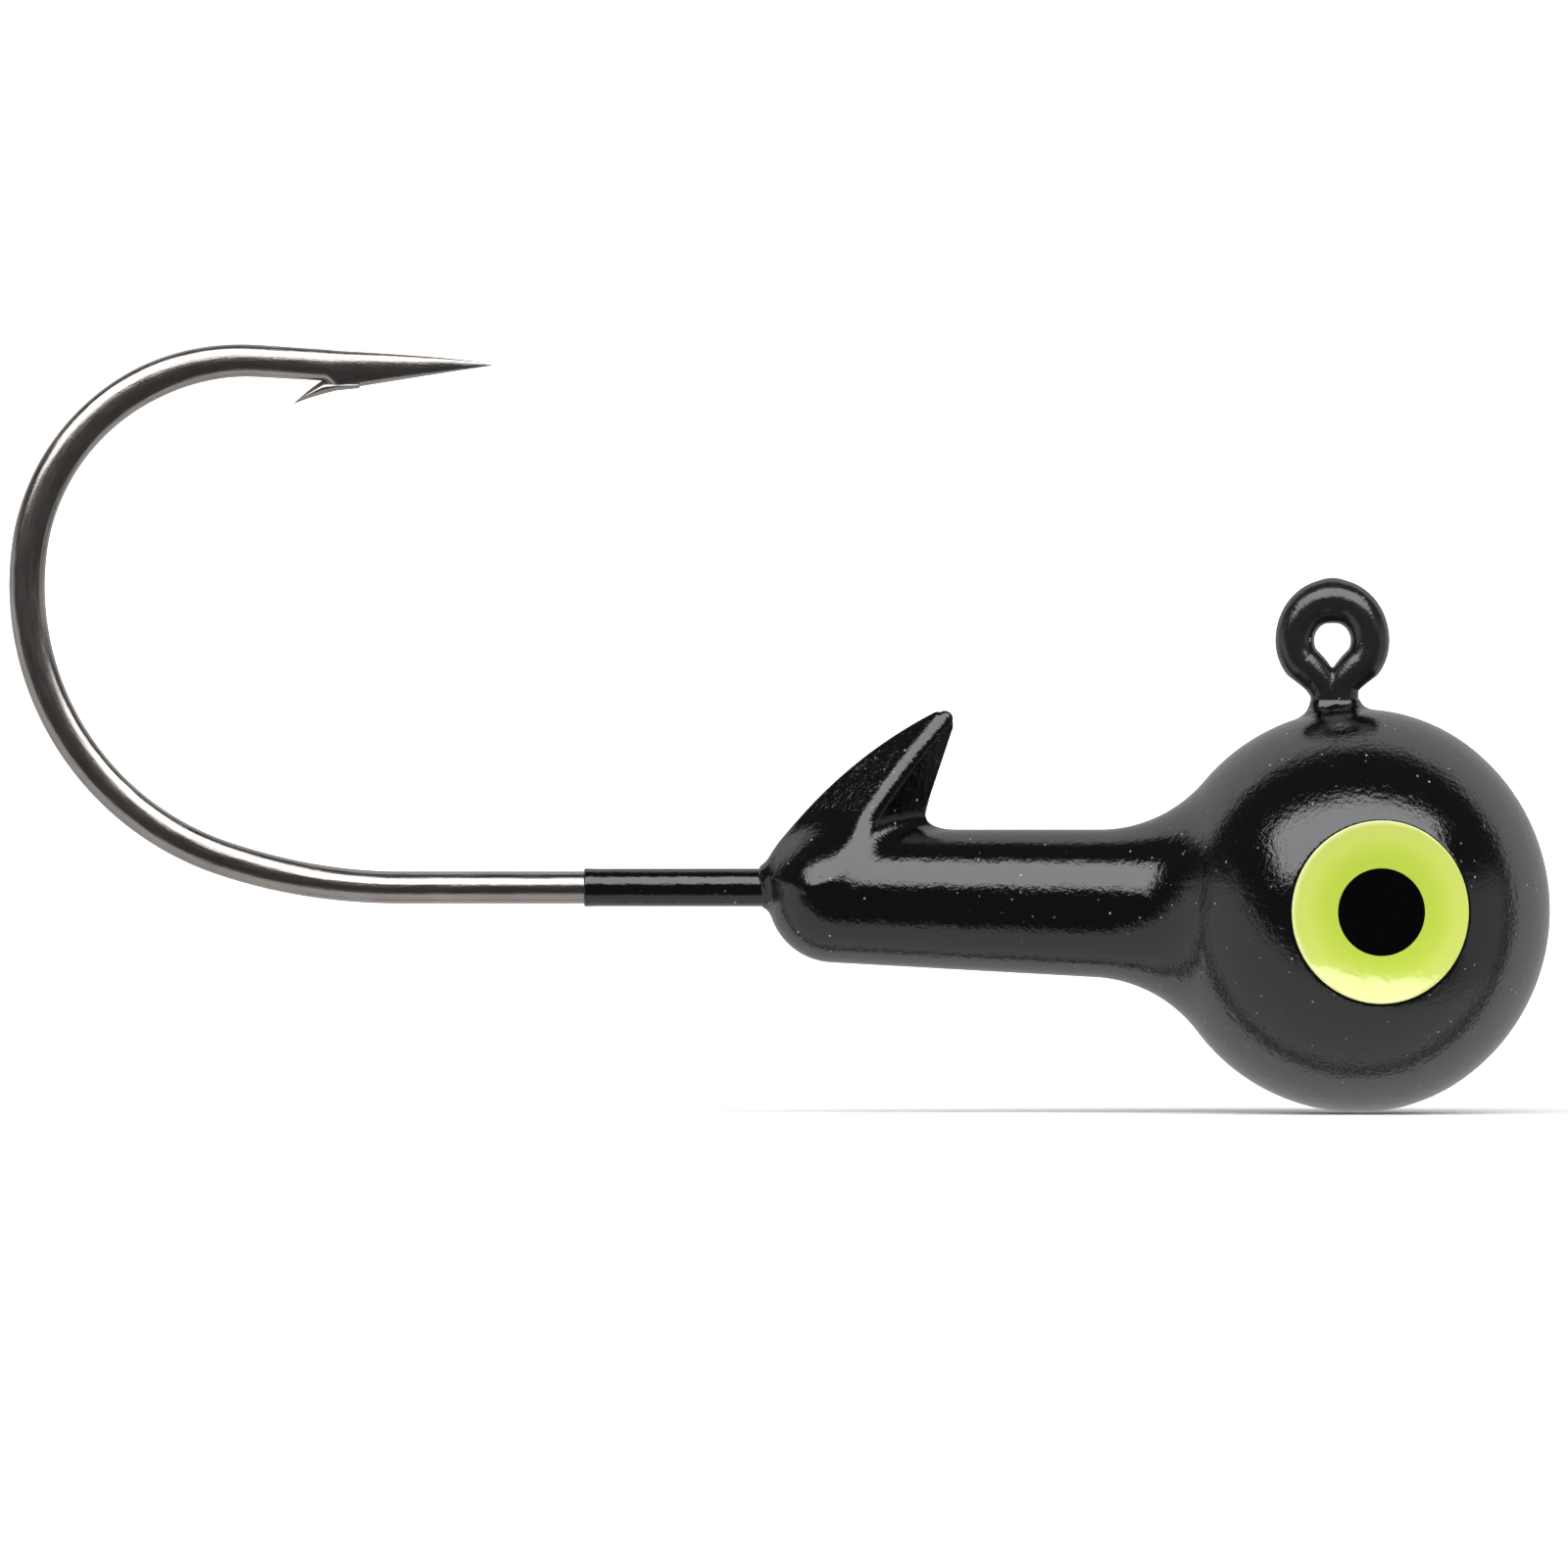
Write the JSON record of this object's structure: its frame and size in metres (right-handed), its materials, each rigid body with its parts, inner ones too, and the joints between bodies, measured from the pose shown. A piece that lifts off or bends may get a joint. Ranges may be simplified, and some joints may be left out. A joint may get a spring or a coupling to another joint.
{
  "type": "jig head",
  "caption": "Round lead fishing jig head with a barbed bait keeper on its collar, cast on a forged hook with a bent line eye, coated black, with a dished lime eye on each side.",
  "frame": {"origin": "centre of the hole in the line eye, in the plane of the hook", "axes": "+X toward the nose of the head, parallel to the hook shank; +Y to the left side of the head, along the hole of the line eye; +Z from the shank toward the line eye and the hook point"},
  "size_m": [0.0382, 0.0094, 0.0191],
  "materials": {
    "hook_nickel": "black nickel plating, bright and slightly streaked along the wire",
    "bare_lead": "bare cast lead, dull grey",
    "black_coat": "gloss black powder coat with a faint orange peel",
    "eyelet_coat": "gloss black powder coat",
    "shank_coat": "gloss black powder coat, thin, with a crisp end",
    "iris_lime": "satin lime, dished, lighter toward the rim",
    "pupil_black": "flat black"
  },
  "bodies": {
    "root": {"hook_eye": "hook_nickel", "hook_leg": "hook_nickel", "hook_shank": "hook_nickel", "hook_bend": "hook_nickel", "hook_point": "hook_nickel", "hook_barb": "hook_nickel", "lead_head": "bare_lead", "head_paint": "black_coat", "eyelet_paint": "eyelet_coat", "shank_paint": "shank_coat", "iris_left": "iris_lime", "iris_right": "iris_lime", "pupil_left": "pupil_black", "pupil_right": "pupil_black"}
  },
  "joints": []
}
